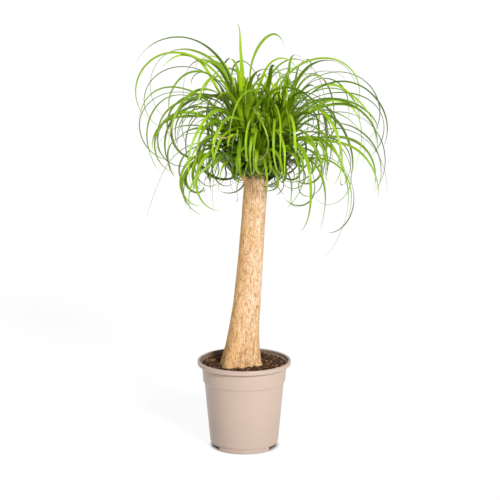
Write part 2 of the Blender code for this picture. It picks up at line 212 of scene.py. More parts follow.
# Where each head stands on the trunk's top, how many leaves fill it between the frame's own ones,
# about how long those are, what share of them curl under, how low they hang, and the heading
# most of them lean to.
Head = namedtuple("Head", "x y leaves usual curly lowest facing")
HEADS = {
    "upper_left": Head(0.000, 0.002, 40, 0.41, 0.50, 0.69, 176),
    "upper_right": Head(0.098, 0.004, 35, 0.38, 0.45, 0.60, -4),
    "back": Head(0.050, 0.050, 28, 0.37, 0.40, 0.62, 90),
    "front": Head(0.036, -0.040, 32, 0.23, 0.80, 0.67, 265),
    "lower_left": Head(-0.012, -0.010, 30, 0.28, 0.80, 0.61, 196),
    "lower_right": Head(0.078, -0.012, 28, 0.32, 0.75, 0.56, -24),
}

Course = namedtuple("Course", "centre across up half depth thick")
Shape = namedtuple("Shape", "heading rise length turn ease sway tilt twist width bend")


# ---- settings -----------------------------------------------------------------------------


def colour_setting(name, description, default):
    return bpy.props.FloatVectorProperty(
        name=name, description=description, default=default, size=3, min=0.0, max=1.0, subtype="COLOR"
    )


def length_setting(name, description, default):
    return bpy.props.FloatProperty(
        name=name, description=description, default=default, min=0.0, unit="LENGTH", precision=4
    )


def count_setting(name, description, default, least=0):
    return bpy.props.IntProperty(name=name, description=description, default=default, min=least)


def strength_setting(name, description, default):
    return bpy.props.FloatProperty(name=name, description=description, default=default, min=0.0)


class PotSettings(bpy.types.PropertyGroup):
    rim_radius: length_setting("Rim radius", "Outer radius of the rolled rim", POT_HIGH.x)
    height: length_setting("Height", "Height of the pot to the top of its rim", POT_HIGH.z)
    sides: count_setting("Sides", "Facets round the pot", 192, 24)
    colour: colour_setting("Colour", "Colour of the moulded plastic", (0.480, 0.362, 0.292))
    # Soil stains and painted shade inside the pot, and painted shade under its floor.
    grime_and_shade: colour_setting("Grime", "Soil stains inside the pot", (0.120, 0.080, 0.058))
    dust: colour_setting("Dust", "Colour of the dust low on the pot", (0.520, 0.430, 0.350))


class SoilSettings(bpy.types.PropertyGroup):
    crumbs: count_setting("Crumbs", "Crumbs scattered; ones at the trunk are left out", 1100)
    crumb_size: length_setting("Crumb size", "Radius of a middling crumb", 0.0022)
    clods: length_setting("Clods", "How high the clods stand", 0.0050)
    dark: colour_setting("Dark", "Damp peat", (0.016, 0.008, 0.004))
    light: colour_setting("Light", "Dry fibre and bark bits", (0.320, 0.155, 0.065))


class TrunkSettings(bpy.types.PropertyGroup):
    grain: length_setting("Mesh size", "Edge length of the trunk's even mesh", 0.0014)
    fissures: length_setting("Fissures", "Depth of the fissures along the bark", 0.0009)
    lumps: length_setting("Lumps", "How far broad lumps stand out", 0.0010)
    roots: length_setting("Roots", "How far root lobes stand out at the foot", 0.0060)
    cork: colour_setting("Cork", "Main colour of the bark", (0.780, 0.470, 0.215))
    # Painted shade: warmer cork down the side in shade, for warm bounced light.
    tan: colour_setting("Tan", "Warmer cork down one side", (1.000, 0.600, 0.250))
    cream: colour_setting("Cream", "Pale streaks along the bark", (0.950, 0.830, 0.680))
    crease: colour_setting("Crease", "Colour down in the fissures", (0.380, 0.160, 0.055))
    scar: colour_setting("Scar", "Old leaf scars at the top", (0.420, 0.200, 0.100))
    # Painted shade where the trunk widens under the heads and over its top.
    shade: colour_setting("Shade", "Leaf sheaths that cover the heads' stubs", (0.020, 0.028, 0.008))


class LeafSettings(bpy.types.PropertyGroup):
    width: length_setting("Width", "Nominal width of a leaf's blade", 0.0160)
    blade: colour_setting("Blade", "Main green of the blade", (0.265, 0.465, 0.004))
    deep: colour_setting("Deep", "Darker green of older blades", (0.080, 0.195, 0.004))
    young: colour_setting("Young", "Yellow green of bases and young leaves", (0.500, 0.690, 0.010))
    dry: colour_setting("Dry", "Straw colour of dry tips", (0.500, 0.370, 0.150))
    papery: colour_setting("Papery", "Dry bases of fallen leaves", (0.560, 0.300, 0.140))
    skirt: count_setting("Skirt", "Small curly leaves under the heads", 46)
    old_bases: count_setting("Old bases", "Dry leaf bases round the trunk's top", 80)


class StageSettings(bpy.types.PropertyGroup):
    key: strength_setting("Key light", "Strength of the soft key light", 3.5)
    back: strength_setting("Back light", "Strength of the light behind", 0.7)
    sky: strength_setting("Sky", "Strength of the light from all round", 0.30)
    paper: colour_setting("Paper", "Colour of the floor", (0.120, 0.120, 0.120))


# ---- shader maths -------------------------------------------------------------------------


class Wire:
    """A shader socket that Python's operators work on; each operation adds a Math node."""

    def __init__(self, finish, socket):
        self.finish = finish
        self.socket = socket

    def maths(self, operation, *values):
        return self.finish.node("ShaderNodeMath", {"operation": operation}, dict(enumerate(values)))

    def __add__(self, other):
        return self.maths("ADD", self, other)

    def __rsub__(self, other):
        return self.maths("SUBTRACT", other, self)

    def __mul__(self, other):
        return self.maths("MULTIPLY", self, other)

    __radd__ = __add__
    __rmul__ = __mul__

    def clipped(self):
        return self.finish.node("ShaderNodeClamp", {}, {"Value": self})

    def step(self, low, high):
        """Nought below low and one above high, smooth between; low may be above high."""
        return self.finish.node(
            "ShaderNodeMapRange",
            {"interpolation_type": "SMOOTHSTEP"},
            {"Value": self, "From Min": low, "From Max": high},
        )


class Finish:
    """A Principled material and the nodes that vary it."""

    def __init__(self, name, **constants):
        self.material = bpy.data.materials.new(name)
        self.material.use_nodes = True
        self.tree = self.material.node_tree
        self.shader = self.tree.nodes["Principled BSDF"]
        for socket, value in constants.items():
            self.shader.inputs[socket.replace("_", " ")].default_value = value

    def node(self, kind, settings, values, output=0):
        """Add a node: its type, its settings, then its sockets' values or links."""
        node = self.tree.nodes.new(kind)
        for key, value in settings.items():
            setattr(node, key, value)
        for key, value in values.items():
            if isinstance(value, Wire):
                self.tree.links.new(value.socket, node.inputs[key])
            else:
                node.inputs[key].default_value = value
        return Wire(self, node.outputs[output])

    def place(self):
        return self.node("ShaderNodeTexCoord", {}, {}, "Object")

    def attribute(self, name):
        return self.node("ShaderNodeAttribute", {"attribute_name": name}, {}, "Fac")

    def vector(self, x, y, z):
        return self.node("ShaderNodeCombineXYZ", {}, {"X": x, "Y": y, "Z": z})

    def noise(self, vector, scale, detail=3.0, roughness=0.55):
        """Noise at one scale, or at a scale of its own along each axis."""
        if isinstance(scale, tuple):
            vector = self.node("ShaderNodeVectorMath", {"operation": "MULTIPLY"}, {0: vector, 1: scale})
            scale = 1
        values = {"Vector": vector, "Scale": scale, "Detail": detail, "Roughness": roughness}
        return self.node("ShaderNodeTexNoise", {}, values)

    def mix(self, share, first, second, blend="MIX"):
        """A mix of two colours; each is a Wire or three numbers."""
        pair = [value if isinstance(value, Wire) else (*value, 1.0) for value in (first, second)]
        settings = {"data_type": "RGBA", "blend_type": blend}
        return self.node("ShaderNodeMix", settings, {0: share, 6: pair[0], 7: pair[1]}, 2)

    def bump(self, height, distance, under=None):
        values = {"Height": height, "Distance": distance}
        if under:
            values["Normal"] = under
        return self.node("ShaderNodeBump", {}, values)

    def feed(self, **wires):
        """Link wires to the shader's own sockets and hand back the material."""
        for socket, wire in wires.items():
            self.tree.links.new(wire.socket, self.shader.inputs[socket.replace("_", " ")])
        return self.material


def darker(colour, share):
    return [value * share for value in colour]


def pot_finish(settings):
    """Matt moulded plastic: a fine grain, faint cloudiness, darker towards the foot, wipe marks, dust near
    the foot, soil stains and painted shade inside, and painted shade underneath.
    """
    finish = Finish("pot_plastic", IOR=1.49, Specular_IOR_Level=0.50)
    place = finish.place()
    height = finish.node("ShaderNodeSeparateXYZ", {}, {"Vector": place}, "Z")
    cloud = finish.noise(place, 22, 4)
    wipe = finish.noise(place, (9, 9, 150), 4)
    grain = finish.noise(place, 1500, 2)
    speck = finish.noise(place, 420, 2).step(0.70, 0.76)
    dusty = height.step(0.040, 0.0) * cloud.step(0.45, 0.80) * 0.25
    # Faint clouds, and darker towards the foot.
    clouds_and_darker_foot = cloud.step(0.30, 0.72) * 0.12 + height.step(0.150, 0.010) * 0.55
    colour = finish.mix(clouds_and_darker_foot, settings.colour, darker(settings.colour, 0.80))
    colour = finish.mix(dusty + wipe.step(0.55, 0.80) * 0.10, colour, settings.dust)
    colour = finish.mix(speck * 0.16, colour, darker(settings.colour, 0.55))
    # Soil stains and painted shade inside the pot, and painted shade under its floor.
    colour = finish.mix(finish.attribute("inside") * (0.55 + 0.40 * cloud), colour, settings.grime_and_shade)
    roughness = 0.32 + 0.10 * cloud + 0.08 * wipe
    normal = finish.bump(grain, 0.00006, finish.bump(cloud, 0.0006))
    return finish.feed(Base_Color=colour, Roughness=roughness, Normal=normal)


def soil_finish(settings, name):
    """Peaty soil: dark damp peat broken by drier fibre, with a coarse crumbly surface."""
    finish = Finish(name, Specular_IOR_Level=0.25)
    place = finish.place()
    tint = finish.attribute("tint")
    patch = finish.noise(place, 60, 5)
    grit = finish.noise(place, 520, 4, 0.7)
    fibre = finish.noise(place, (900, 160, 400), 3).step(0.62, 0.74)
    light = (patch.step(0.45, 0.75) * 0.35 + grit.step(0.50, 0.80) * 0.45 + fibre * 0.35 + tint).clipped()
    colour = finish.mix(light, settings.dark, settings.light)
    normal = finish.bump(grit, 0.0009, finish.bump(patch, 0.002))
    return finish.feed(Base_Color=colour, Roughness=0.98 - 0.20 * grit, Normal=normal)


def bark_finish(settings):
    """Corky bark: cream streaks, dark pits and specks, scars at the top, and painted shade down one side
    and over the top.
    """
    finish = Finish("bark", Specular_IOR_Level=0.02)
    place = finish.place()
    crease = finish.attribute("crease")
    shaded = finish.attribute("shaded")
    height = finish.node("ShaderNodeSeparateXYZ", {}, {"Vector": place}, "Z")
    streak = finish.noise(place, (300, 300, 55), 5, 0.68)
    fine = finish.noise(place, (640, 640, 300), 4, 0.72)
    blotch = finish.noise(place, (48, 48, 24), 4)
    grain = finish.noise(place, 620, 4, 0.78)
    flake = finish.noise(place, (380, 380, 190), 3, 0.70)
    pit = finish.noise(place, (430, 430, 300), 2).step(0.640, 0.700)
    pale = height.step(0.235, 0.400) * 0.38
    colour = finish.mix(fine.step(0.38, 0.62) * 0.45, settings.cork, darker(settings.cork, 0.74))
    cream = streak.step(0.51, 0.60) * 0.60 + pale * blotch.step(0.25, 0.60) + flake.step(0.56, 0.62) * 0.55
    # Painted shade: fewer cream streaks on the side in shade.
    cream = cream * (1 - crease) * (1 - 0.5 * shaded)
    colour = finish.mix(cream.clipped(), colour, settings.cream)
    # Painted shade: warmer cork down the side in shade, for warm bounced light.
    colour = finish.mix(shaded.step(0.50, 1.0) * 0.60, colour, settings.tan)
    dark = crease * 0.85 + streak.step(0.46, 0.37) * 0.55 + grain.step(0.56, 0.66) * 0.60
    colour = finish.mix(dark.clipped(), colour, settings.crease)
    colour = finish.mix(pit * 0.65, colour, darker(settings.crease, 0.35))
    scarred = height.step(BARK_TOP - 0.034, BARK_TOP) * blotch.step(0.30, 0.60)
    colour = finish.mix(scarred * 0.70, colour, settings.scar)
    # Painted shade where the trunk widens under the heads and over its top, among the leaves.
    colour = finish.mix(finish.attribute("painted_top_shade"), colour, settings.shade)
    normal = finish.bump(fine, 0.0012, finish.bump(streak, 0.0016, finish.bump(grain, 0.0010)))
    return finish.feed(Base_Color=colour, Roughness=0.80 + 0.16 * fine, Normal=normal)


def leaf_finish(settings, name):
    """A glossy strap leaf: ribs, a yellow base, often a dry tip, painted shade on its underside and deep in
    the crown.
    """
    finish = Finish(name, Specular_IOR_Level=0.42)
    along = finish.attribute("along")
    across = finish.attribute("across")
    tint = finish.attribute("tint")
    dryness = finish.attribute("dryness")
    ribs = finish.noise(finish.vector(across * 16, along * 5, tint * 91), 1, 3)
    patch = finish.noise(finish.vector(across * 1.2, along * 11, tint * 57), 1, 4)
    colour = finish.mix(tint, settings.deep, settings.blade)
    colour = finish.mix(patch.step(0.40, 0.75) * 0.30 + tint.step(0.70, 1.0) * 0.35, colour, settings.young)
    colour = finish.mix(along.step(0.26, 0.0) * 0.75, colour, settings.young)
    colour = finish.mix(ribs.step(0.42, 0.62) * 0.22, colour, settings.young)
    # Painted shade: the undersides of the blades are darker.
    under = finish.attribute("facing").step(0.2, -0.2)
    colour = finish.mix(under * 0.45, colour, darker(settings.deep, 0.60))
    # Painted shade deep in the crown, between the heads.
    colour = finish.mix(finish.attribute("inner") * 0.92, colour, darker(settings.deep, 0.16))
    faded = (along + patch * 0.05).step(1.0 - dryness * 0.16, 1.05 - dryness * 0.12)
    colour = finish.mix(faded, colour, settings.dry)
    roughness = 0.20 + 0.10 * ribs + 0.30 * faded
    normal = finish.bump(ribs, 0.0005)
    return finish.feed(Base_Color=colour, Roughness=roughness, Normal=normal)


def dry_finish(settings):
    """Papery dead leaf bases: straw to red brown, ribbed, dark where they join the bark."""
    finish = Finish("old_leaf_base", Specular_IOR_Level=0.15)
    along = finish.attribute("along")
    across = finish.attribute("across")
    tint = finish.attribute("tint")
    ribs = finish.noise(finish.vector(across * 9, along * 2, tint * 91), 1, 3)
    colour = finish.mix(tint, darker(settings.papery, 0.32), settings.papery)
    colour = finish.mix(ribs.step(0.45, 0.60) * 0.5, colour, settings.dry)
    colour = finish.mix(along.step(0.30, 0.0) * 0.6, colour, darker(settings.papery, 0.25))
    return finish.feed(Base_Color=colour, Roughness=0.80 + 0.15 * ribs, Normal=finish.bump(ribs, 0.0008))


def paper_finish(settings):
    """Faintly fibrous paper that glows softly, with a painted shadow where the pot stands on it."""
    finish = Finish("paper", Roughness=0.90, Specular_IOR_Level=0.10, Emission_Strength=0.90)
    place = finish.place()
    fibre = finish.noise(place, 60)
    colour = finish.mix(fibre * 0.02, settings.paper, darker(settings.paper, 0.97))
    reach = finish.node("ShaderNodeVectorMath", {"operation": "LENGTH"}, {0: place}, "Value")
    # Painted shadow: the paper stops glowing under the pot, fading out round its foot.
    shadow_under_pot = reach.step(FOOT_RADIUS + 0.010, FOOT_RADIUS - 0.010)
    glow = finish.mix(shadow_under_pot, (1.0, 1.0, 1.0), (0.04, 0.04, 0.04))
    return finish.feed(Base_Color=colour, Emission_Color=glow)


# ---- meshes -------------------------------------------------------------------------------


def add_piece(name, mesh, material, smooth_angle=40):
    """Put a mesh in the scene as a piece of the object, shaded smooth, riding on its body."""
    piece = bpy.data.objects.new(name, mesh)
    bpy.context.scene.collection.objects.link(piece)
    mesh.shade_smooth()
    mesh.set_sharp_from_angle(angle=radians(smooth_angle))
    mesh.materials.clear()
    mesh.materials.append(material)
    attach(piece, BODY)
    return piece


def set_values(mesh, name, values):
    """Store one number for each vertex, for the material to read."""
    layer = mesh.attributes.new(name, "FLOAT", "POINT")
    layer.data.foreach_set("value", np.asarray(values, np.float32))


def welded(node):
    shape = bmesh.new()
    shape.from_mesh(node.data)
    bmesh.ops.remove_doubles(shape, verts=shape.verts, dist=WELD)
    return shape


def node_tree(name):
    shape = welded(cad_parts[name])
    tree = BVHTree.FromBMesh(shape)
    shape.free()
    return tree


def applied(thing):
    """The object's mesh with its modifiers applied; the object itself is removed."""
    depsgraph = bpy.context.evaluated_depsgraph_get()
    mesh = bpy.data.meshes.new_from_object(thing.evaluated_get(depsgraph))
    bpy.data.objects.remove(thing)
    return mesh


def loose_object(name, shape):
    """A plain helper object made from a bmesh."""
    mesh = bpy.data.meshes.new(name)
    bmesh.ops.recalc_face_normals(shape, faces=shape.faces)
    shape.to_mesh(mesh)
    shape.free()
    thing = bpy.data.objects.new(name, mesh)
    bpy.context.scene.collection.objects.link(thing)
    return thing


def loft(rings):
    """Skin a list of rings with equal point counts and close both ends."""
    shape = bmesh.new()
    loops = [[shape.verts.new(point) for point in ring] for ring in rings]
    for lower, upper in zip(loops, loops[1:]):
        count = len(lower)
        for i in range(count):
            j = (i + 1) % count
            shape.faces.new((lower[i], lower[j], upper[j], upper[i]))
    shape.faces.new(loops[0][::-1])
    shape.faces.new(loops[-1])
    return shape


def circle(radius, height, sides, x=0.0, y=0.0):
    turns = [2 * pi * i / sides for i in range(sides)]
    return [(x + radius * cos(turn), y + radius * sin(turn), height) for turn in turns]


# ---- pot ----------------------------------------------------------------------------------


def arc_points(centre, radius, start, end, count):
    step = (end - start) / (count - 1)
    turns = [radians(start + step * i) for i in range(count)]
    return [(centre[0] + radius * cos(turn), centre[1] + radius * sin(turn)) for turn in turns]


def rim_outline(rim, top):
    """The rolled rim: two soft ribs with a groove between them, then over and into the pot."""
    low = top - RIM_BAND
    middle = top - 0.5 * RIM_BAND
    rib = RIM_RIB
    crest = (rim - RIM_ROLL, top - RIM_ROLL)
    inner_lip = (rim - 0.0080, low + 0.0040)
    return [
        (COLLAR_RADIUS, low - 0.0010),
        (COLLAR_RADIUS + 0.0012, low),
        (rim - rib, low),
        *arc_points((rim - rib, low + rib), rib, -70, 30, 5),
        (rim - 0.0007, middle),
        *arc_points(crest, RIM_ROLL, 0, 165, 12),
        inner_lip,
    ]


def pot_outline(rim, top):
    """The pot's half section: out along its underside, up, over the rim and down inside."""
    low = top - RIM_BAND
    floor_top = FLOOR_UNDERSIDE + FLOOR_THICKNESS
    underside = [
        (AXIS_RADIUS, 0.0),
        (BOSS_RADIUS - 0.0008, 0.0),
        (BOSS_RADIUS, 0.0008),
        (BOSS_RADIUS, FLOOR_UNDERSIDE),
        (FOOT_RADIUS - 0.0026, FLOOR_UNDERSIDE),
        (FOOT_RADIUS - 0.0022, 0.0004),
    ]
    foot = [
        (FOOT_RADIUS - 0.0016, 0.0),
        (FOOT_RADIUS - 0.0008, 0.0),
        (FOOT_RADIUS, 0.0009),
        (FOOT_RADIUS + 0.0002, FOOT_HEIGHT - 0.0052),
        (FOOT_RADIUS - 0.0006, FOOT_HEIGHT - 0.0044),
        (FOOT_RADIUS, FOOT_HEIGHT - 0.0036),
        (FOOT_RADIUS + 0.0001, FOOT_HEIGHT),
        (BODY_FOOT_RADIUS - 0.0008, FOOT_HEIGHT + 0.0001),
        (BODY_FOOT_RADIUS, FOOT_HEIGHT + 0.0011),
    ]
    collar = [
        (BODY_TOP_RADIUS - 0.0002, COLLAR_FOOT - 0.0062),
        (BODY_TOP_RADIUS + 0.0006, COLLAR_FOOT - 0.0038),
        (COLLAR_FOOT_RADIUS - 0.0012, COLLAR_FOOT - 0.0020),
        (COLLAR_FOOT_RADIUS - 0.0002, COLLAR_FOOT - 0.0006),
        (COLLAR_FOOT_RADIUS, COLLAR_FOOT + 0.0014),
    ]
    inside = [
        (COLLAR_RADIUS - WALL, low - 0.0015),
        (COLLAR_FOOT_RADIUS - WALL, COLLAR_FOOT + 0.0010),
        (BODY_TOP_RADIUS - WALL, COLLAR_FOOT - 0.0030),
        (BODY_FOOT_RADIUS - WALL, floor_top),
        (BOSS_RADIUS - 0.0020, floor_top),
        (BOSS_RADIUS - 0.0024, FLOOR_THICKNESS),
        (AXIS_RADIUS, FLOOR_THICKNESS),
    ]
    return underside + foot + collar + rim_outline(rim, top) + inside


def notch_cutter(heading):
    cutter = bmesh.new()
    bmesh.ops.create_cube(cutter, size=1.0)
    bmesh.ops.scale(cutter, vec=(NOTCH_DEPTH, NOTCH_WIDTH, 2 * NOTCH_HEIGHT), verts=cutter.verts)
    bmesh.ops.translate(cutter, vec=(FOOT_RADIUS, 0.0, 0.0), verts=cutter.verts)
    turn = Matrix.Rotation(radians(heading), 3, "Z")
    bmesh.ops.rotate(cutter, cent=(0, 0, 0), matrix=turn, verts=cutter.verts)
    return loose_object(f"notch_cutter_{heading}", cutter)


def drain_cutter(index):
    heading = 2 * pi * (index + 0.5) / DRAIN_COUNT
    x = DRAIN_RING * cos(heading)
    y = DRAIN_RING * sin(heading)
    low = FLOOR_UNDERSIDE - FLOOR_THICKNESS
    high = FLOOR_UNDERSIDE + 2 * FLOOR_THICKNESS
    rings = [circle(DRAIN_RADIUS, height, DRAIN_SIDES, x, y) for height in (low, high)]
    return loose_object(f"drain_cutter_{index}", loft(rings))


def pot_mesh(settings):
    outline = pot_outline(settings.rim_radius, settings.height)
    pot = loose_object("pot_shape", loft([circle(r, h, settings.sides) for r, h in outline]))
    cutters = [notch_cutter(heading) for heading in NOTCH_HEADINGS]
    cutters += [drain_cutter(index) for index in range(DRAIN_COUNT)]
    for cutter in cutters:
        change = pot.modifiers.new(cutter.name, "BOOLEAN")
        change.operation = "DIFFERENCE"
        change.solver = "EXACT"
        change.object = cutter
    mesh = applied(pot)
    for cutter in cutters:
        bpy.data.objects.remove(cutter)
    set_values(mesh, "inside", [grime_and_shade_share(vertex.co, settings) for vertex in mesh.vertices])
    return mesh


def grime_and_shade_share(place, settings):
    """Stains and painted shade: one inside the collar and under the floor, nought outside, on the rim and
    behind the soil.
    """
    reach = (place.x**2 + place.y**2) ** 0.5
    # Painted shade under the floor, inside the foot ring.
    if place.z < FLOOR_UNDERSIDE + NEAR and reach < FOOT_RADIUS - 2 * NEAR:
        return 1.0
    low = settings.height - RIM_BAND
    share = min(1.0, max(0.0, (place.z - COLLAR_FOOT) / (low - COLLAR_FOOT)))
    outer = COLLAR_FOOT_RADIUS + (COLLAR_RADIUS - COLLAR_FOOT_RADIUS) * share
    edge = outer - 0.6 * WALL if place.z < low + NEAR else settings.rim_radius - RIM_LIP
    return 1.0 if place.z > COLLAR_FOOT and reach < edge else 0.0


# ---- soil ---------------------------------------------------------------------------------


def trunk_slice(tree, height, count):
    """Points round the trunk's surface at one height, and their middle."""
    middle = Vector((SLICE_START_X, SLICE_START_Y, height))
    for _ in range(SLICE_ROUNDS):
        hits = []
        for i in range(count):
            turn = 2 * pi * i / count
            away = Vector((cos(turn), sin(turn), 0.0))
            hit = tree.ray_cast(middle + away * OUTSIDE, -away)[0]
            hits.append(hit if hit else middle)
        middle = sum(hits, Vector()) / count
    return hits, middle


def soil_height(x, y, share, clods):
    """The lumpy top: clods in the open, settling to the edge and the trunk."""
    place = Vector((x, y, 0.0))
    lump = noise.fractal(place * 95, 0.9, 2.1, 4)
    clod = noise.cell(place * 160) * 0.4 + noise.noise(place * 260) * 0.6
    heap = SOIL_HEAP + 0.0015 * sin(pi * share)
    return SOIL_TOP + heap + clods * (0.55 * lump + 0.35 * clod) * min(1.0, 6 * (1 - share) + 0.15)


def soil_mesh(settings, trunk):
    """Soil that fills the pot, with a lumpy top and a socket round the trunk's buried foot."""
    foot = TRUNK_LOW.z
    rings = []
    for level in SOCKET_LEVELS:
        hits, middle = trunk_slice(trunk, foot + (SOIL_TOP - foot) * level, SOIL_SIDES)
        rings.append([point + (point - middle).normalized() * SOIL_GAP for point in hits])
    rings.insert(0, [Vector((p.x, p.y, foot - SOIL_GAP)) for p in rings[0]])
    inner, middle = trunk_slice(trunk, SOIL_TOP + SOIL_HEAP, SOIL_SIDES)
    wall = COLLAR_RADIUS - WALL - EDGE_GAP
    for row in range(SOIL_ROWS + 1):
        share = row / SOIL_ROWS
        ring = []
        for i, near in enumerate(inner):
            turn = 2 * pi * i / SOIL_SIDES
            start = near + (near - middle).normalized() * SOIL_GAP
            point = start.lerp(Vector((wall * cos(turn), wall * sin(turn), 0.0)), share)
            point.z = soil_height(point.x, point.y, share, settings.clods)
            ring.append(point)
        rings.append(ring)
    side = [
        (COLLAR_FOOT_RADIUS - WALL - WALL_GAP, COLLAR_FOOT + 0.0014),
        (BODY_TOP_RADIUS - WALL - WALL_GAP, COLLAR_FOOT - 0.0030),
        (BODY_FOOT_RADIUS - WALL - WALL_GAP, FLOOR_UNDERSIDE + FLOOR_THICKNESS + SOIL_GAP),
    ]
    rings += [circle(radius, height, SOIL_SIDES) for radius, height in side]
    mesh = applied(loose_object("soil_shape", loft(rings)))
    set_values(mesh, "tint", [0.0] * len(mesh.vertices))
    return mesh


def crumb_mesh(settings, ground, trunk):
    """Loose crumbs and bark bits lying on the soil, each an uneven little stone shape."""
    chance = Random(CRUMB_SEED)
    stone = bmesh.new()
    bmesh.ops.create_icosphere(stone, subdivisions=2, radius=1.0)
    points = np.array([vertex.co for vertex in stone.verts])
    corners = np.array([[vertex.index for vertex in face.verts] for face in stone.faces])
    stone.free()
    places, faces, tints = [], [], []
    wall = COLLAR_RADIUS - WALL - CRUMB_GAP
    for index in range(settings.crumbs):
        reach = wall * chance.uniform(0.10, 1.0) ** 0.5
        turn = chance.uniform(0, 2 * pi)
        x, y = reach * cos(turn), reach * sin(turn)
        hit = ground.ray_cast(Vector((x, y, SOIL_TOP + ABOVE_SOIL)), DOWN)[0]
        size = settings.crumb_size * chance.uniform(0.45, 1.0) * (1 + chance.random() ** 6 * 1.6)
        long = 1 + chance.random() ** 3 * 1.8
        near = trunk.find_nearest(hit)[3]
        if near < size * 1.5 or hit.z < SOIL_TOP - 0.02:
            continue
        size = min(size, (wall + 0.0020 - reach) / long)
        stretch = np.array((long, chance.uniform(0.6, 1.0), chance.uniform(0.45, 0.85)))
        seed = Vector((index * 7.3, 0, 0))
        bulge = np.array([1 + 0.45 * noise.noise(Vector(p) * 1.5 + seed) for p in points])
        spin = Matrix.Rotation(chance.uniform(0, 2 * pi), 3, "Z")
        spin = spin @ Matrix.Rotation(chance.uniform(-0.5, 0.5), 3, "X")
        shaped = (points * bulge[:, None] * stretch * size) @ np.array(spin).T
        faces.append(corners + len(places) * len(points))
        places.append(shaped + np.array(hit) + (0, 0, size * 0.25))
        tints.append(chance.random() ** 3 * 0.9)
    mesh = bpy.data.meshes.new("soil_crumbs")
    mesh.from_pydata(np.concatenate(places).tolist(), [], np.concatenate(faces).tolist())
    set_values(mesh, "tint", np.repeat(tints, len(points)))
    return mesh


# ---- trunk --------------------------------------------------------------------------------


def even_mesh(node, size):
    """The node's shape as an even mesh of small quads."""
    thing = loose_object("even_shape", welded(node))
    change = thing.modifiers.new("even", "REMESH")
    change.mode = "VOXEL"
    change.voxel_size = size
    return applied(thing)


def trunk_axis(tree):
    """The trunk's middle, as numbers that go with the heights between soil and crown."""
    heights = np.linspace(SOIL_TOP - AXIS_MARGIN, TRUNK_TOP - AXIS_MARGIN, AXIS_SLICES)
    middles = np.array([trunk_slice(tree, height, AXIS_SIDES)[1] for height in heights])
    return heights, middles[:, 0], middles[:, 1]


def around(heading, turns, along):
    """A place in noise space that closes on itself round the trunk."""
    return Vector((cos(heading) * turns, sin(heading) * turns, along))


def bark_relief(place, heading, settings):
    """How far the bark stands out at a point, and how deep in a fissure the point is."""
    warp = noise.noise(Vector((place.x * 60, place.y * 60, place.z * 40))) * 0.7
    ridge = noise.noise(around(heading, 8.5, place.z * 34 + warp))
    fine = noise.noise(around(heading, 15.0, place.z * 75 + warp + 7))
    cracks = noise.noise(around(heading, 1.6, place.z * 48))
    broken = noise.noise(around(heading, 1.9, place.z * 9 + 4))
    lump = noise.fractal(Vector((place.x * 26, place.y * 26, place.z * 11)), 1.0, 2.0, 3)
    fissure = 0.55 * exp(-((ridge / 0.075) ** 2)) + 0.35 * exp(-((fine / 0.12) ** 2))
    ring = 0.9 * exp(-((cracks / 0.030) ** 2)) * max(0.0, min(1.0, (broken - 0.12) * 6))
    low = exp(-max(0.0, place.z - SOIL_TOP) / 0.060)
    root = noise.noise(around(heading, 1.7, place.z * 9 + 20)) * low
    depth = min(1.0, max(fissure, ring))
    rise = settings.lumps * lump * (1 + 0.6 * low) + settings.roots * root - settings.fissures * depth
    return rise, depth


def top_shade_share(reach, height):
    """One where the bark gets painted shade among the leaves: where it widens under the heads, and above
    its bark.
    """
    wide = (reach - FLARE_REACH) / FLARE_BAND if height > FLARE_START else 0.0
    return min(1.0, max(0.0, wide, (height - TOP_SHADE_START) / TOP_SHADE_BAND))


def trunk_mesh(settings, tree):
    """The trunk with its bark's relief, how creased each point is, and its painted shade down one side and
    under the heads.
    """
    mesh = even_mesh(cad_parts["trunk"], settings.grain)
    shape = bmesh.new()
    shape.from_mesh(mesh)
    every_way = {"use_axis_x": True, "use_axis_y": True, "use_axis_z": True}
    for _ in range(SMOOTHING_ROUNDS):
        bmesh.ops.smooth_vert(shape, verts=shape.verts, factor=0.5, **every_way)
    shape.to_mesh(mesh)
    heights, xs, ys = trunk_axis(tree)
    depths, shades, painted_top_shades = [], [], []
    shape.verts.ensure_lookup_table()
    shape.normal_update()
    for vertex in shape.verts:
        place = vertex.co
        x = np.interp(place.z, heights, xs)
        y = np.interp(place.z, heights, ys)
        heading = np.arctan2(place.y - y, place.x - x)
        rise, depth = bark_relief(place, heading, settings)
        faded = min(1.0, max(LEAST_RELIEF, (BARK_TOP - place.z) / BARK_FADE))
        vertex.co = place + vertex.normal * rise * faded
        depths.append(depth * faded)
        # Painted shade on one side of the trunk.
        shades.append(0.5 + 0.5 * cos(heading - SHADED_SIDE))
        painted_top_shades.append(top_shade_share(np.hypot(place.x - x, place.y - y), place.z))
    shape.to_mesh(mesh)
    shape.free()
    set_values(mesh, "crease", depths)
    set_values(mesh, "shaded", shades)
    set_values(mesh, "painted_top_shade", painted_top_shades)
    return mesh


# ---- leaves -------------------------------------------------------------------------------


def rings_of(node):
    """The rings of four corner points along a frame leaf, from its base to its tip."""
    shape = welded(node)
    shape.verts.ensure_lookup_table()
    points = np.array([vertex.co for vertex in shape.verts])
    gaps = np.linalg.norm(points[:, None] - points[None], axis=2)
    tip = int(np.argmin(np.sort(gaps, axis=1)[:, 3]))
    ring = sorted(np.argsort(gaps[tip])[:4].tolist())
    seen = set(ring)
    rings = [ring]
    while ring:
        ring = {e.other_vert(shape.verts[v]).index for v in ring for e in shape.verts[v].link_edges}
        ring = sorted(ring - seen)
        seen.update(ring)
        if ring:
            rings.append(ring)
    shape.free()
    if any(len(ring) != 4 for ring in rings):
        raise RuntimeError(f"{node.name} isn't made of rings of four")
    return [points[ring] for ring in reversed(rings)]


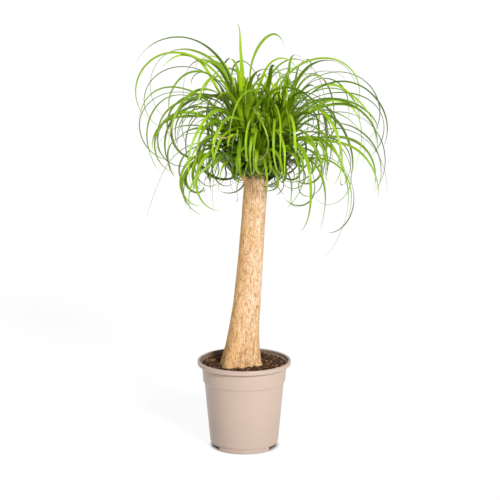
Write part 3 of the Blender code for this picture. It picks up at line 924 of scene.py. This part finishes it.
def station(ring, along):
    """A ring's middle, its directions across and up, half width, channel depth and half thickness."""
    gaps = np.linalg.norm(ring[:, None] - ring[None], axis=2)
    first, second = divmod(int(np.argmax(gaps)), 4)
    middle = (ring[first] + ring[second]) / 2
    others = [ring[i] for i in range(4) if i not in (first, second)]
    channel, keel = sorted(others, key=lambda point: np.linalg.norm(point - middle))
    up = channel - keel
    across = ring[first] - ring[second]
    if np.dot(np.cross(along, across), up) < 0:
        across = -across
    half = np.linalg.norm(across) / 2
    depth = np.linalg.norm((channel + keel) / 2 - middle)
    thick = np.linalg.norm(up) / 2
    return middle, across / (2 * half), up / (2 * thick), half, depth, thick


def course_of(node):
    """The course of a frame leaf."""
    rings = rings_of(node)
    middles = np.array([ring.mean(axis=0) for ring in rings])
    alongs = np.gradient(middles, axis=0)
    stations = [station(ring, along) for ring, along in zip(rings, alongs)]
    return Course(*(np.array(column) for column in zip(*stations)))


def leaf_taper(share):
    """Width along a leaf as a share of its nominal width: a clasping base, then a long taper."""
    return np.maximum((1 - share) ** 0.62, 0.03) + 0.16 * np.exp(-share / 0.05)


def ruled_course(base, shape):
    """The course of a leaf that leaves its base at a heading and rise, arches over and sways."""
    shares = np.linspace(0, 1, RULE_STEPS + 1)
    middle_shares = shares[:-1] + 0.5 / RULE_STEPS

    def directions(share):
        waver = np.minimum(1, 3 * share) * np.sin(2 * pi * (1.6 * share + shape.bend))
        aside = np.minimum(1, 3 * share) * np.cos(2 * pi * (1.2 * share + 1.7 * shape.bend))
        angle = np.radians(shape.rise - shape.turn * share**shape.ease + WAVER * waver)
        facing = np.radians(shape.heading + shape.sway * share**2 + WAVER * aside)
        along = np.stack([np.cos(angle) * np.cos(facing), np.cos(angle) * np.sin(facing), np.sin(angle)], 1)
        level = np.stack([-np.sin(facing), np.cos(facing), 0 * facing], 1)
        return along, level

    along, level = directions(shares)
    steps = directions(middle_shares)[0] * shape.length / RULE_STEPS
    centre = np.vstack([base, base + np.cumsum(steps, axis=0)])
    above = np.cross(along, level)
    rolled = np.radians(shape.tilt + shape.twist * shares)[:, None]
    across = level * np.cos(rolled) + above * np.sin(rolled)
    up = above * np.cos(rolled) - level * np.sin(rolled)
    half = 0.5 * shape.width * leaf_taper(shares)
    depth = CHANNEL * half * (1 - 0.5 * shares)
    thick = BLADE_HALF_THICKNESS * (1 - 0.55 * shares)
    return Course(centre, across, up, half, depth, thick)


def resampled(values, count):
    """Values along a smooth curve through the given ones, at evenly spaced places."""
    values = np.asarray(values, float)
    flat = values.reshape(len(values), -1)
    padded = np.vstack([2 * flat[0] - flat[1], flat, 2 * flat[-1] - flat[-2]])
    at = np.linspace(0, len(flat) - 1, count)
    low = np.minimum(at.astype(int), len(flat) - 2)
    t = (at - low)[:, None]
    a, b, c, d = padded[low], padded[low + 1], padded[low + 2], padded[low + 3]
    curve = b + 0.5 * t * (c - a + t * (2 * a - 5 * b + 4 * c - d + t * (3 * (b - c) + d - a)))
    return curve.reshape(count, *values.shape[1:])


def unit(vectors):
    return vectors / np.linalg.norm(vectors, axis=1)[:, None]


def turned(course, degrees):
    """The same course with its blade turned about its middle line, from the base's neck on."""
    turn = np.radians(degrees * np.minimum(1, 3 * np.linspace(0, 1, len(course.half))))[:, None]
    across = course.across * np.cos(turn) + course.up * np.sin(turn)
    up = course.up * np.cos(turn) - course.across * np.sin(turn)
    return course._replace(across=across, up=up)


def lively(course, chance, steps=LEAF_STEPS):
    """A finer course with the small waves, width changes and pointed tip of a real leaf."""
    fine = Course(*(resampled(values, steps) for values in course))
    share = np.linspace(0, 1, steps)
    phase = [chance.uniform(0, 2 * pi) for _ in range(4)]
    wave = np.sin(share * chance.uniform(7, 14) + phase[0]) * np.sin(share * pi)
    lift = np.sin(share * chance.uniform(6, 12) + phase[3]) * np.sin(share * pi)
    twist = np.radians(TWIST * np.sin(share * chance.uniform(8, 14) + phase[1]) * share)[:, None]
    up = unit(fine.up * np.cos(twist) - fine.across * np.sin(twist))
    across = unit(fine.across * np.cos(twist) + fine.up * np.sin(twist))
    centre = fine.centre + across * (wave * WAVE)[:, None] + up * (lift * WAVE)[:, None]
    length = np.linalg.norm(np.diff(fine.centre, axis=0), axis=1).sum()
    slim = (1 - 0.10 * share) * min(1.10, 1.34 - 0.85 * length)
    half = fine.half * slim * (1 + 0.05 * np.sin(share * 21 + phase[2]))
    point = np.clip((1 - share) / 0.05, 0, 1) ** 0.6
    half = np.maximum(half * (0.12 + 0.88 * point), EDGE_HALF_WIDTH)
    depth = np.maximum(fine.depth, 0) * (1 + 0.25 * np.sin(share * 13 + phase[3]))
    thick = np.minimum(np.maximum(fine.thick, 0.0001), half * 0.6)
    return Course(centre, across, up, half, depth, thick)


def blade_arrays(course):
    """Vertices, faces and the along, across and facing numbers of one closed leaf."""
    top = np.array(SECTION)
    under = top[-2:0:-1]
    sides = np.concatenate([top, under])
    lift = np.concatenate([np.ones(len(top)), -np.ones(len(under))])
    lift[0] = lift[len(top) - 1] = 0.0
    swell = np.sqrt(1 - 0.75 * sides**2) * lift
    valley = 1 - np.abs(sides) ** 1.5
    aside = (course.half[:, None] * sides)[..., None]
    rise = (course.thick[:, None] * swell - course.depth[:, None] * valley)[..., None]
    places = course.centre[:, None] + course.across[:, None] * aside + course.up[:, None] * rise
    steps, corners = places.shape[:2]
    numbers = np.arange(steps * corners).reshape(steps, corners)
    after = np.roll(numbers, -1, axis=1)
    faces = np.stack([numbers[:-1], after[:-1], after[1:], numbers[1:]], axis=2).reshape(-1, 4).tolist()
    faces.append(numbers[0][::-1].tolist())
    faces.append(numbers[-1].tolist())
    along = np.repeat(np.linspace(0, 1, steps), corners)
    return places.reshape(-1, 3), faces, along, np.tile(sides, steps), np.tile(lift, steps)


def crown_shade_share(places):
    """How much painted shade a point gets: one in the middle of the crown, between the heads, and nought at
    its outside.
    """
    nearest = np.clip(places, CROWN_LOW, CROWN_HIGH)
    away = np.linalg.norm(places - nearest, axis=1)
    return np.clip(1 - away / CROWN_DEPTH, 0, 1) ** 0.7


def blades_mesh(name, blades):
    """One mesh of leaves; each blade is a course with its tint and dryness."""
    places, faces = [], []
    columns = {"along": [], "across": [], "facing": [], "tint": [], "dryness": []}
    start = 0
    for course, tint, dryness in blades:
        points, corners, along, across, facing = blade_arrays(course)
        places.append(points)
        faces += [[corner + start for corner in face] for face in corners]
        start += len(points)
        alike = (np.full(len(points), tint), np.full(len(points), dryness))
        for column, values in zip(columns.values(), (along, across, facing, *alike)):
            column.append(values)
    places = np.concatenate(places)
    mesh = bpy.data.meshes.new(name)
    mesh.from_pydata(places.tolist(), [], faces)
    shape = bmesh.new()
    shape.from_mesh(mesh)
    bmesh.ops.recalc_face_normals(shape, faces=shape.faces)
    shape.to_mesh(mesh)
    shape.free()
    for key, values in columns.items():
        set_values(mesh, key, np.concatenate(values))
    # Painted shade deep in the crown, for the material to read.
    set_values(mesh, "inner", crown_shade_share(places))
    return mesh


def course_tree(courses):
    """A coarse tree of ribbons along the courses, to test new leaves against."""
    places, faces = [], []
    for course in courses:
        start = len(places)
        left = course.centre + course.across * course.half[:, None]
        right = course.centre - course.across * course.half[:, None]
        keel = course.centre - course.up * (course.depth + course.thick)[:, None]
        for row in np.stack([left, keel, right], axis=1):
            places += [Vector(point) for point in row]
        for i in range(len(course.half) - 1):
            a = start + 3 * i
            faces += [(a, a + 1, a + 4, a + 3), (a + 1, a + 2, a + 5, a + 4)]
    return BVHTree.FromPolygons(places, faces)


def head_lines(trunk):
    """Each head's stub as middles and radii going down from its growing tip, found in the frame."""
    lines = {}
    for name, head in HEADS.items():
        tip = trunk.ray_cast(Vector((head.x, head.y, TRUNK_HIGH.z + ABOVE_CROWN)), DOWN)[0]
        if not tip:
            raise RuntimeError(f"no stub under the {name} head")
        middle = tip + DOWN * STUB_STEP
        rows = []
        while middle.z > BARK_TOP - 0.006:
            hits = []
            for i in range(12):
                away = Vector((cos(pi * i / 6), sin(pi * i / 6), 0.0))
                distance = trunk.ray_cast(middle, away)[3] or HEAD_RADIUS
                hits.append(middle + away * min(distance, 1.7 * HEAD_RADIUS))
            middle = sum(hits, Vector()) / len(hits)
            radius = sum((hit - middle).length for hit in hits) / len(hits)
            rows.append((*middle, radius))
            middle = middle + DOWN * STUB_STEP
        lines[name] = np.array(rows)
    return lines


def place_on(line, drop, heading, outward):
    """A leaf's base on a stub: how far below the tip, which way it faces, how far off the bark."""
    at = np.clip(drop / STUB_STEP - 1, 0, len(line) - 1)
    x, y, z, radius = (np.interp(at, range(len(line)), column) for column in line.T)
    turn = radians(heading)
    top = line[0][2] + STUB_STEP - drop
    reach = radius + outward
    return np.array((x + reach * cos(turn), y + reach * sin(turn), max(z, top)))


def has_room(course, lowest, crossing):
    """Whether a leaf stays in the frame's box, above its lowest height and off the trunk's front."""
    low = np.array((CAD_LOW.x + BOX_MARGIN, CAD_LOW.y + BOX_MARGIN, lowest))
    high = np.array(CAD_HIGH) - BOX_MARGIN
    x, y, z = course.centre.T
    before = (z < BARK_TOP) & (np.abs(x - FRONT_MIDDLE_X) < FRONT_HALF_WIDTH) & (y < 0)
    inside = (course.centre > low).all() and (course.centre < high).all()
    return bool(inside and (crossing or not before.any()))


def fit_course(line, drop, shape, taken, lowest, crossing):
    """The leaf's course, nudged round its stub until it touches as few others as it can."""
    tree = course_tree(taken)
    best = None
    for outward, aside, lower in product(OUTWARD_TRIALS, ASIDE_TRIALS, LOWER_TRIALS):
        moved = shape._replace(
            heading=shape.heading + aside, rise=shape.rise - lower, turn=shape.turn - lower
        )
        base = place_on(line, drop, moved.heading, outward)
        course = ruled_course(base, moved)
        while not has_room(course, lowest, crossing) and moved.length > SHORTEST:
            moved = moved._replace(length=moved.length * SHORTENING)
            course = ruled_course(base, moved)
        touches = len(course_tree([course]).overlap(tree))
        if best is None or touches < best[0]:
            best = (touches, course)
        if touches == 0:
            break
    taken.append(best[1])
    return best[1]


def heart_shape(heading, age, usual, width, chance):
    """A young leaf: it stands up straight from the head and folds over near its end."""
    rise = chance.uniform(74, 90)
    return Shape(
        heading=heading,
        rise=rise,
        length=usual * (0.42 + 0.9 * age) * chance.uniform(0.85, 1.2),
        turn=rise + chance.uniform(30, 110),
        ease=chance.uniform(1.8, 3.2),
        sway=chance.uniform(-40, 40),
        tilt=chance.uniform(-14, 14),
        twist=chance.choice((-1, 1)) * chance.uniform(10, 70),
        width=width * chance.uniform(0.55, 0.98),
        bend=chance.random(),
    )


def grown_shape(heading, age, usual, width, curly, chance):
    """A grown leaf: it arches over and hangs, and its end may curl back under it."""
    rise = 87 - 50 * max(0.0, age - 0.25) ** 1.2 + chance.uniform(-6, 6)
    curls = chance.random() < curly
    side = chance.choice((-1, 1))
    return Shape(
        heading=heading,
        rise=rise,
        length=usual * chance.uniform(0.72, 1.25),
        turn=rise + (chance.uniform(150, 310) if curls else chance.uniform(75, 135)),
        ease=chance.uniform(1.0, 1.8) if curls else chance.uniform(0.9, 1.5),
        sway=side * (chance.uniform(20, 110) if curls else chance.uniform(0, 45)),
        tilt=chance.uniform(-14, 14),
        twist=chance.choice((-1, 1)) * chance.uniform(20, 100),
        width=width * chance.uniform(0.50, 1.02),
        bend=chance.random(),
    )


def fill_leaves(line, head, width, taken, chance):
    """Leaves of every age round one head, between the frame's own ones."""
    start = chance.uniform(0, 360)
    blades = young_leaves(line, start, width, taken, chance)
    for i in range(head.leaves):
        age = (i + 0.5) / head.leaves
        heading = start + GOLDEN_ANGLE * i
        heading -= LEAN * sin(radians(heading - head.facing))
        if age < HEART_AGE:
            shape = heart_shape(heading, age, head.usual, width, chance)
        else:
            shape = grown_shape(heading, age, head.usual, width, head.curly, chance)
        drop = 0.004 + len(line) * STUB_STEP * 0.95 * age**1.2
        crossing = chance.random() < CROSSING_SHARE
        course = fit_course(line, drop, shape, taken, head.lowest, crossing)
        tint = min(1.0, max(0.0, 0.85 - 0.50 * age + chance.uniform(-0.45, 0.45)))
        blades.append((lively(course, chance), tint, chance.random() ** 3))
    return blades


def young_leaves(line, start, width, taken, chance):
    """The newest leaves, which stand up from the middle of a head and hide its growing tip."""
    blades = []
    for i in range(YOUNG_LEAVES):
        heading = start + GOLDEN_ANGLE * i
        rise = chance.uniform(80, 90)
        shape = Shape(
            heading=heading,
            rise=rise,
            length=0.035 + 0.011 * i * chance.uniform(0.7, 1.3),
            turn=chance.uniform(8, 30) + 7 * i,
            ease=chance.uniform(1.6, 2.6),
            sway=chance.uniform(-30, 30),
            tilt=chance.uniform(-10, 10),
            twist=chance.uniform(-40, 40),
            width=width * chance.uniform(0.42, 0.70),
            bend=chance.random(),
        )
        reach = 0.0015 + 0.0011 * i
        turn = radians(heading)
        base = line[0][:3] + np.array((reach * cos(turn), reach * sin(turn), STUB_STEP - 0.003))
        course = ruled_course(base, shape)
        taken.append(course)
        blades.append((lively(course, chance), chance.uniform(0.75, 1.0), 0.0))
    return blades


def bark_point(tree, height, heading):
    """The point on the trunk's surface at a height and heading, seen from outside."""
    away = Vector((cos(radians(heading)), sin(radians(heading)), 0.0))
    middle = Vector((TRUNK_AXIS_X, 0.0, height))
    hit = tree.ray_cast(middle + away * OUTSIDE, -away)[0]
    if not hit:
        raise RuntimeError(f"no bark at a height of {height:.3f}")
    return hit, away


def skirt_leaves(count, width, taken, chance):
    """Short curly leaves that come out round the trunk's top, under the heads, and hang."""
    blades = []
    for i in range(count):
        rise = chance.uniform(10, 60)
        shape = Shape(
            heading=GOLDEN_ANGLE * i + chance.uniform(-12, 12),
            rise=rise,
            length=chance.uniform(0.08, 0.20),
            turn=rise + chance.uniform(120, 320),
            ease=chance.uniform(0.8, 1.6),
            sway=chance.choice((-1, 1)) * chance.uniform(30, 150),
            tilt=chance.uniform(-20, 20),
            twist=chance.choice((-1, 1)) * chance.uniform(30, 140),
            width=width * chance.uniform(0.40, 0.75),
            bend=chance.random(),
        )
        drop = chance.uniform(0.002, 0.018)
        crossing = chance.random() < SKIRT_CROSSING_SHARE
        course = fit_course(COLLAR_LINE, drop, shape, taken, SKIRT_LOWEST, crossing)
        blades.append((lively(course, chance), chance.uniform(0.1, 0.8), chance.random()))
    return blades


def old_bases(count, width, tree, chance):
    """The dry bases of fallen leaves, which stand in a ragged fringe round the trunk's top."""
    blades = []
    for i in range(count):
        rise = chance.uniform(48, 82)
        shape = Shape(
            heading=GOLDEN_ANGLE * i,
            rise=rise,
            length=chance.uniform(0.010, 0.026),
            turn=rise - chance.uniform(-40, 30),
            ease=1.2,
            sway=0.0,
            tilt=chance.uniform(-15, 15),
            twist=chance.uniform(-50, 50),
            width=width * chance.uniform(0.35, 0.80),
            bend=chance.random(),
        )
        hit, away = bark_point(tree, BARK_TOP + chance.uniform(-0.022, 0.022), shape.heading)
        base = np.array(hit - away * 0.0008)
        course = lively(ruled_course(base, shape), chance, OLD_BASE_STEPS)
        blades.append((course, chance.random(), chance.random()))
    return blades


# ---- operators ----------------------------------------------------------------------------


class PALM_OT_pot(bpy.types.Operator):
    """Turn the pot, cut its notches and drain holes, and finish it as moulded plastic"""

    bl_idname = "palm.pot"
    bl_label = "Nursery Pot"

    def execute(self, context):
        settings = context.scene.palm_pot
        piece = add_piece("nursery_pot", pot_mesh(settings), pot_finish(settings), 32)
        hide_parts("pot")
        return {"FINISHED"}


class PALM_OT_soil(bpy.types.Operator):
    """Fill the pot with lumpy soil and scatter crumbs on it"""

    bl_idname = "palm.soil"
    bl_label = "Soil and Crumbs"

    def execute(self, context):
        settings = context.scene.palm_soil
        trunk = node_tree("trunk")
        mesh = soil_mesh(settings, trunk)
        soil = add_piece("soil", mesh, soil_finish(settings, "peaty_soil"), 180)
        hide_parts("potting_soil")
        ground = BVHTree.FromPolygons(
            [vertex.co for vertex in mesh.vertices], [face.vertices for face in mesh.polygons]
        )
        crumbs = crumb_mesh(settings, ground, trunk)
        add_piece("soil_crumbs", crumbs, soil_finish(settings, "soil_crumbs"), 60)
        return {"FINISHED"}


class PALM_OT_trunk(bpy.types.Operator):
    """Carve the trunk's corky bark into an even mesh of the frame's trunk"""

    bl_idname = "palm.trunk"
    bl_label = "Trunk"

    def execute(self, context):
        settings = context.scene.palm_trunk
        mesh = trunk_mesh(settings, node_tree("trunk"))
        piece = add_piece("corky_trunk", mesh, bark_finish(settings), 180)
        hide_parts("trunk")
        return {"FINISHED"}


class PALM_OT_leaves(bpy.types.Operator):
    """Make a fine arching blade along each of the frame's leaves"""

    bl_idname = "palm.leaves"
    bl_label = "Main Leaves"

    def execute(self, context):
        settings = context.scene.palm_leaf
        material = leaf_finish(settings, "leaf")
        chance = Random(MAIN_SEED)
        for name in LEAF_NODES:
            course = turned(course_of(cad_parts[name]), TURNED_LEAVES.get(name, 0))
            course = lively(course, chance)
            tint = TINTED_LEAVES.get(name, chance.uniform(0.05, 0.80))
            blade = name.replace("leaf", "blade")
            mesh = blades_mesh(blade, [(course, tint, chance.random() ** 4)])
            piece = add_piece(blade, mesh, material, LEAF_SMOOTHING)
            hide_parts(name)
        return {"FINISHED"}


class PALM_OT_fill(bpy.types.Operator):
    """Fill each head with leaves of every age between the main ones"""

    bl_idname = "palm.fill"
    bl_label = "Filling Leaves"

    def execute(self, context):
        settings = context.scene.palm_leaf
        material = leaf_finish(settings, "filling_leaf")
        chance = Random(FILLING_SEED)
        taken = [course_of(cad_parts[name]) for name in LEAF_NODES]
        tree = node_tree("trunk")
        lines = head_lines(tree)
        for name, head in HEADS.items():
            blades = fill_leaves(lines[name], head, settings.width, taken, chance)
            mesh = blades_mesh(f"filling_{name}", blades)
            add_piece(f"filling_{name}", mesh, material, LEAF_SMOOTHING)
        skirt = blades_mesh("skirt_leaves", skirt_leaves(settings.skirt, settings.width, taken, chance))
        add_piece("skirt_leaves", skirt, material, LEAF_SMOOTHING)
        bases = blades_mesh("old_leaf_bases", old_bases(settings.old_bases, settings.width, tree, chance))
        add_piece("old_leaf_bases", bases, dry_finish(settings), LEAF_SMOOTHING)
        return {"FINISHED"}


def add_light(name, heading, height, softness, strength):
    """A distant soft light that comes from a heading and a height above level, both in degrees."""
    data = bpy.data.lights.new(name, "SUN")
    data.energy = strength
    data.angle = radians(softness)
    light = bpy.data.objects.new(name, data)
    turn = radians(heading)
    lift = radians(height)
    source = Vector((cos(lift) * cos(turn), cos(lift) * sin(turn), sin(lift)))
    light.rotation_euler = source.to_track_quat("Z", "Y").to_euler()
    light.location = source * 4
    bpy.context.scene.collection.objects.link(light)


def add_world(strength):
    """White all round where it is seen, and gentler where it only lights things."""
    world = bpy.data.worlds.new("studio_white")
    world.use_nodes = True
    tree = world.node_tree
    background = tree.nodes["Background"]
    background.inputs["Color"].default_value = (1.0, 1.0, 1.0, 1.0)
    ray = tree.nodes.new("ShaderNodeLightPath")
    level = tree.nodes.new("ShaderNodeMapRange")
    level.inputs["To Min"].default_value = strength
    level.inputs["To Max"].default_value = 1.0
    tree.links.new(ray.outputs["Is Camera Ray"], level.inputs["Value"])
    tree.links.new(level.outputs["Result"], background.inputs["Strength"])
    bpy.context.scene.world = world


def add_camera():
    """A long lens a little above the crown, looking slightly down."""
    data = bpy.data.cameras.new("camera")
    data.lens = CAMERA_LENS
    data.sensor_width = CAMERA_SENSOR
    camera = bpy.data.objects.new("camera", data)
    camera.location = CAMERA_PLACE
    camera.rotation_euler = (CAMERA_AIM - CAMERA_PLACE).to_track_quat("-Z", "Y").to_euler()
    bpy.context.scene.collection.objects.link(camera)
    bpy.context.scene.camera = camera


class PALM_OT_stage(bpy.types.Operator):
    """Lay white paper, hang the soft lights and set up the camera"""

    bl_idname = "palm.stage"
    bl_label = "Studio Stage"

    def execute(self, context):
        settings = context.scene.palm_stage
        shape = bmesh.new()
        bmesh.ops.create_grid(shape, x_segments=8, y_segments=8, size=FLOOR_SIZE)
        floor = loose_object("paper_floor", shape)
        floor.data.materials.append(paper_finish(settings))
        add_light("key", *KEY_LIGHT, settings.key)
        add_light("back", *BACK_LIGHT, settings.back)
        add_world(settings.sky)
        context.scene.view_settings.view_transform = "Standard"
        add_camera()
        return {"FINISHED"}


class PALM_PT_panel(bpy.types.Panel):
    """The palm's pieces, in the order they are made"""

    bl_label = "Ponytail Palm"
    bl_idname = "PALM_PT_panel"
    bl_space_type = "VIEW_3D"
    bl_region_type = "UI"
    bl_category = "Palm"

    def draw(self, context):
        for operator in OPERATORS:
            self.layout.operator(operator.bl_idname)
        for name, group in SETTINGS.items():
            box = self.layout.box()
            for key in group.__annotations__:
                box.prop(getattr(context.scene, name), key)


OPERATORS = (PALM_OT_pot, PALM_OT_soil, PALM_OT_trunk, PALM_OT_leaves, PALM_OT_fill, PALM_OT_stage)
SETTINGS = {
    "palm_pot": PotSettings,
    "palm_soil": SoilSettings,
    "palm_trunk": TrunkSettings,
    "palm_leaf": LeafSettings,
    "palm_stage": StageSettings,
}


def register():
    for thing in (*SETTINGS.values(), *OPERATORS, PALM_PT_panel):
        bpy.utils.register_class(thing)
    for name, group in SETTINGS.items():
        setattr(bpy.types.Scene, name, bpy.props.PointerProperty(type=group))


def unregister():
    for name in SETTINGS:
        delattr(bpy.types.Scene, name)
    for thing in (PALM_PT_panel, *reversed(OPERATORS), *SETTINGS.values()):
        bpy.utils.unregister_class(thing)


def main():
    register()
    bpy.ops.palm.stage()
    bpy.ops.palm.pot()
    bpy.ops.palm.soil()
    bpy.ops.palm.trunk()
    bpy.ops.palm.leaves()
    bpy.ops.palm.fill()


if __name__ == "__main__":
    main()
